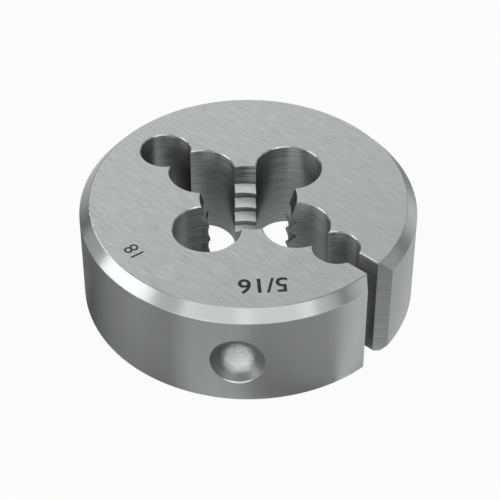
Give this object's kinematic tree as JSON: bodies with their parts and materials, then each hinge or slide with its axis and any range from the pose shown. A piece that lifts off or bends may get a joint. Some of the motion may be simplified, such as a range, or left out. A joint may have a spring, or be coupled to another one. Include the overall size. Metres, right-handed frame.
{
  "type": "round threading die",
  "caption": "Round split threading die: a chamfered steel disc with a toothed bore, chip clearance holes, an adjusting slit with a V-groove, and screw dimples in its rim.",
  "frame": {"origin": "centre of the bottom face, on the axis of the thread", "axes": "+Z along the thread's axis, out of the upper face; the cutting lands lie on the X and Y axes, and the slit points midway between +X and -Y"},
  "size_m": [0.0254, 0.0254, 0.009],
  "materials": {
    "tool_steel": "ground faces, turned chamfers, drilled and tapped inside",
    "etched_mark": "dark etched numbers"
  },
  "bodies": {
    "root": {"round_split_die": "tool_steel"}
  },
  "joints": []
}
